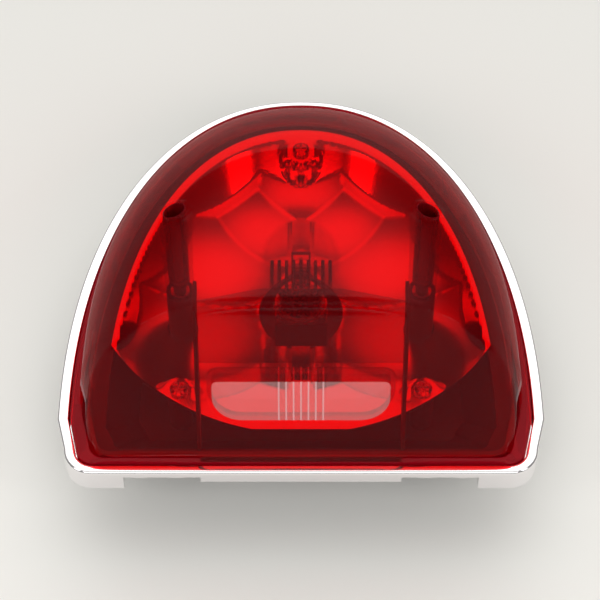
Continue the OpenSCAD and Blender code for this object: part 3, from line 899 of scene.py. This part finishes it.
class LAMP_OT_reflector(bpy.types.Operator):
    """Builds the dished reflector with its holes for the bulb, the posts and the screws"""
    bl_idname = "lamp.reflector"
    bl_label = "Reflector"

    def execute(self, context):
        deselect()
        half = (REFLECTOR_HIGH.x - REFLECTOR_LOW.x) / 2
        middle = (REFLECTOR_HIGH.y + REFLECTOR_LOW.y) / 2
        bpy.ops.mesh.primitive_grid_add(x_subdivisions=DISH_GRID, y_subdivisions=DISH_GRID,
                                        size=DISH_MARGIN * half, location=(0, middle, RIM_PLANE))
        bpy.ops.object.transform_apply(location=True, rotation=True, scale=True)
        dish = bpy.context.object
        for vert in dish.data.vertices:
            vert.co.z += dish_height(vert.co.x / MM, vert.co.y / MM) * MM
        apply_modifier(dish, "SOLIDIFY", thickness=DISH_WALL, offset=-1)
        edge = grown_rim(REFLECTOR_HIGH.x - HALF_WIDTH, REFLECTOR_HIGH.y - ROUND_Y,
                         FLAT_Y - REFLECTOR_LOW.y)
        combine(dish, skin("edge", [at_height(edge, DISH_LOW), at_height(edge, RIM_PLANE + 10 * MM)]),
                "INTERSECT")
        combine(dish, rod(ROUND_RADIUS, y=ROUND_CENTRE_Y, sides=ROUND_SIDES), "INTERSECT")
        combine(dish, rod(BULB_HOLE_RADIUS), "DIFFERENCE")
        for x, y in well_places():
            combine(dish, rod(POST_HOLE_RADIUS, x, y), "DIFFERENCE")
        for x, y in BOSS_PLACES:
            combine(dish, rod(BOSS_HOLE_RADIUS, x * MM, y * MM, BOSS_HOLE_LOW, BOSS_HOLE_SIDES),
                    "DIFFERENCE")
        clean(dish, 0.00001)
        shade(dish, 28)
        hand_over(dish, "reflector_dish", "reflector", "lamp", "reflector")
        return {"FINISHED"}


# Finishes of the CAD nodes that stay

STAYING = {
    "rear_housing": "dark_plastic", "bezel_screws": "steel", "lens_gasket": "grey_rubber",
    "reflector_screws": "nickel", "plate_window": "clear_window", "lens_screw_inserts": "brass",
    "lens_screws": "dark_steel", "lens_screw_seals": "rubber", "mounting_inserts": "brass",
    "mounting_pads": "rubber", "bulb_holder": "holder_plastic", "holder_seal": "rubber",
    "socket_shell": "plated_steel", "terminals": "brass", "contact_spring": "plated_steel",
    "contact_disc": "fibre_board", "contact_studs": "brass", "bulb_base": "nickel",
    "bulb_contacts": "solder", "bulb_glass": "bulb_glass", "bulb_stem": "bulb_glass",
    "bulb_filaments": "tungsten",
}


class LAMP_OT_finishes(bpy.types.Operator):
    """Gives each CAD node that stays its finish"""
    bl_idname = "lamp.finishes"
    bl_label = "Finishes"

    def execute(self, context):
        for node, finish in STAYING.items():
            cover(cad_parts[node], finish)
        return {"FINISHED"}


# Stage

VIEW_ELEVATION = 56
VIEW_DISTANCE = 0.7
VIEW_LENS = 133.2
VIEW_DROP = 6.9 * MM
VIEW_CENTRE = (-0.3 * MM, 0, 45 * MM)
FLOOR_SIZE = 6
BRIGHT_WAY = (0, 0.56, 0.83)
BRIGHT_GLOW = 1.35
HORIZON_GLOW = 0.12
ZENITH_GLOW = 0.42


def area_light(name, place, target, size, power, colour):
    light = bpy.data.lights.new(name, "AREA")
    light.shape = "RECTANGLE"
    light.size, light.size_y = size
    light.energy = power
    light.color = colour
    made = bpy.data.objects.new(name, light)
    bpy.context.scene.collection.objects.link(made)
    made.location = place
    made.rotation_euler = (Vector(target) - Vector(place)).to_track_quat("-Z", "Y").to_euler()


def studio_world():
    """Soft light all round: dim near the horizon, brighter overhead and brightest high behind."""
    world = bpy.data.worlds.new("studio")
    world.use_nodes = True
    tree = world.node_tree
    way = tree.nodes.new("ShaderNodeTexCoord").outputs["Generated"]
    split = tree.nodes.new("ShaderNodeSeparateXYZ")
    tree.links.new(way, split.inputs["Vector"])
    toward = tree.nodes.new("ShaderNodeVectorMath")
    toward.operation = "DOT_PRODUCT"
    toward.inputs[1].default_value = BRIGHT_WAY
    tree.links.new(way, toward.inputs[0])
    glow = tree.nodes.new("ShaderNodeMapRange")
    glow.interpolation_type = "SMOOTHSTEP"
    for key, value in (("From Min", 0.6), ("From Max", 1), ("To Min", 0), ("To Max", BRIGHT_GLOW)):
        glow.inputs[key].default_value = value
    tree.links.new(toward.outputs["Value"], glow.inputs["Value"])
    around = spread(tree, split.outputs["Z"], HORIZON_GLOW, ZENITH_GLOW)
    total = calculate(tree, "ADD", around, glow.outputs["Result"])
    back = tree.nodes["Background"]
    back.inputs["Color"].default_value = (1, 0.99, 0.98, 1)
    tree.links.new(total, back.inputs["Strength"])
    return world


class LAMP_OT_stage(bpy.types.Operator):
    """Sets the floor, the lights and the camera"""
    bl_idname = "lamp.stage"
    bl_label = "Stage"

    def execute(self, context):
        deselect()
        scene = context.scene
        scene.view_settings.view_transform = "Standard"
        bpy.ops.mesh.primitive_plane_add(size=FLOOR_SIZE, location=(0, 0, CAD_LOW.z))
        floor = context.object
        floor.name = "floor"
        material, tree = new_material("pale_floor")
        shader = add_node(tree, "ShaderNodeBsdfPrincipled", Roughness=0.7)
        shader.inputs["Base Color"].default_value = (*colours().floor, 1)
        output(tree, shader.outputs["BSDF"])
        floor.data.materials.append(material)

        scene.world = studio_world()
        aim = (0, 0, 40 * MM)
        area_light("left", (-0.62, -0.45, 0.62), aim, (0.22, 0.4), 1.2, (1, 1, 1))
        area_light("front", (0, -0.95, 0.8), (0, -0.1, 0), (1.1, 0.5), 4.5, (1, 1, 1))
        area_light("right", (0.62, -0.45, 0.62), aim, (0.22, 0.4), 1.2, (1, 1, 1))

        angle = math.radians(VIEW_ELEVATION)
        toward = Vector((0, -math.cos(angle), math.sin(angle)))
        up = Vector((0, math.sin(angle), math.cos(angle)))
        aimed = Vector(VIEW_CENTRE) - up * VIEW_DROP
        data = bpy.data.cameras.new("camera")
        data.lens = VIEW_LENS
        data.sensor_width = 36
        data.clip_start = 0.01
        camera = bpy.data.objects.new("camera", data)
        scene.collection.objects.link(camera)
        camera.location = aimed + toward * VIEW_DISTANCE
        camera.rotation_euler = (-toward).to_track_quat("-Z", "Y").to_euler()
        scene.camera = camera
        return {"FINISHED"}


class LAMP_PT_panel(bpy.types.Panel):
    """Lists the tail light's pieces"""
    bl_idname = "LAMP_PT_panel"
    bl_label = "Tail light"
    bl_space_type = "VIEW_3D"
    bl_region_type = "UI"
    bl_category = "Tail light"

    def draw(self, context):
        for group in (context.scene.lamp_sizes, context.scene.lamp_colours):
            for key in group.__annotations__:
                self.layout.prop(group, key)
        for step in STEPS:
            self.layout.operator(step.bl_idname)


STEPS = (LAMP_OT_stage, LAMP_OT_lens, LAMP_OT_chamber, LAMP_OT_wells, LAMP_OT_bezel,
         LAMP_OT_reflector, LAMP_OT_finishes)
CLASSES = (LampSizes, LampColours, *STEPS, LAMP_PT_panel)


def register():
    for made in CLASSES:
        bpy.utils.register_class(made)
    bpy.types.Scene.lamp_sizes = PointerProperty(type=LampSizes)
    bpy.types.Scene.lamp_colours = PointerProperty(type=LampColours)


def unregister():
    del bpy.types.Scene.lamp_sizes
    del bpy.types.Scene.lamp_colours
    for made in reversed(CLASSES):
        bpy.utils.unregister_class(made)


def main():
    register()
    bpy.ops.lamp.stage()
    bpy.ops.lamp.lens()
    bpy.ops.lamp.chamber()
    bpy.ops.lamp.wells()
    bpy.ops.lamp.bezel()
    bpy.ops.lamp.reflector()
    bpy.ops.lamp.finishes()


if __name__ == "__main__":
    main()
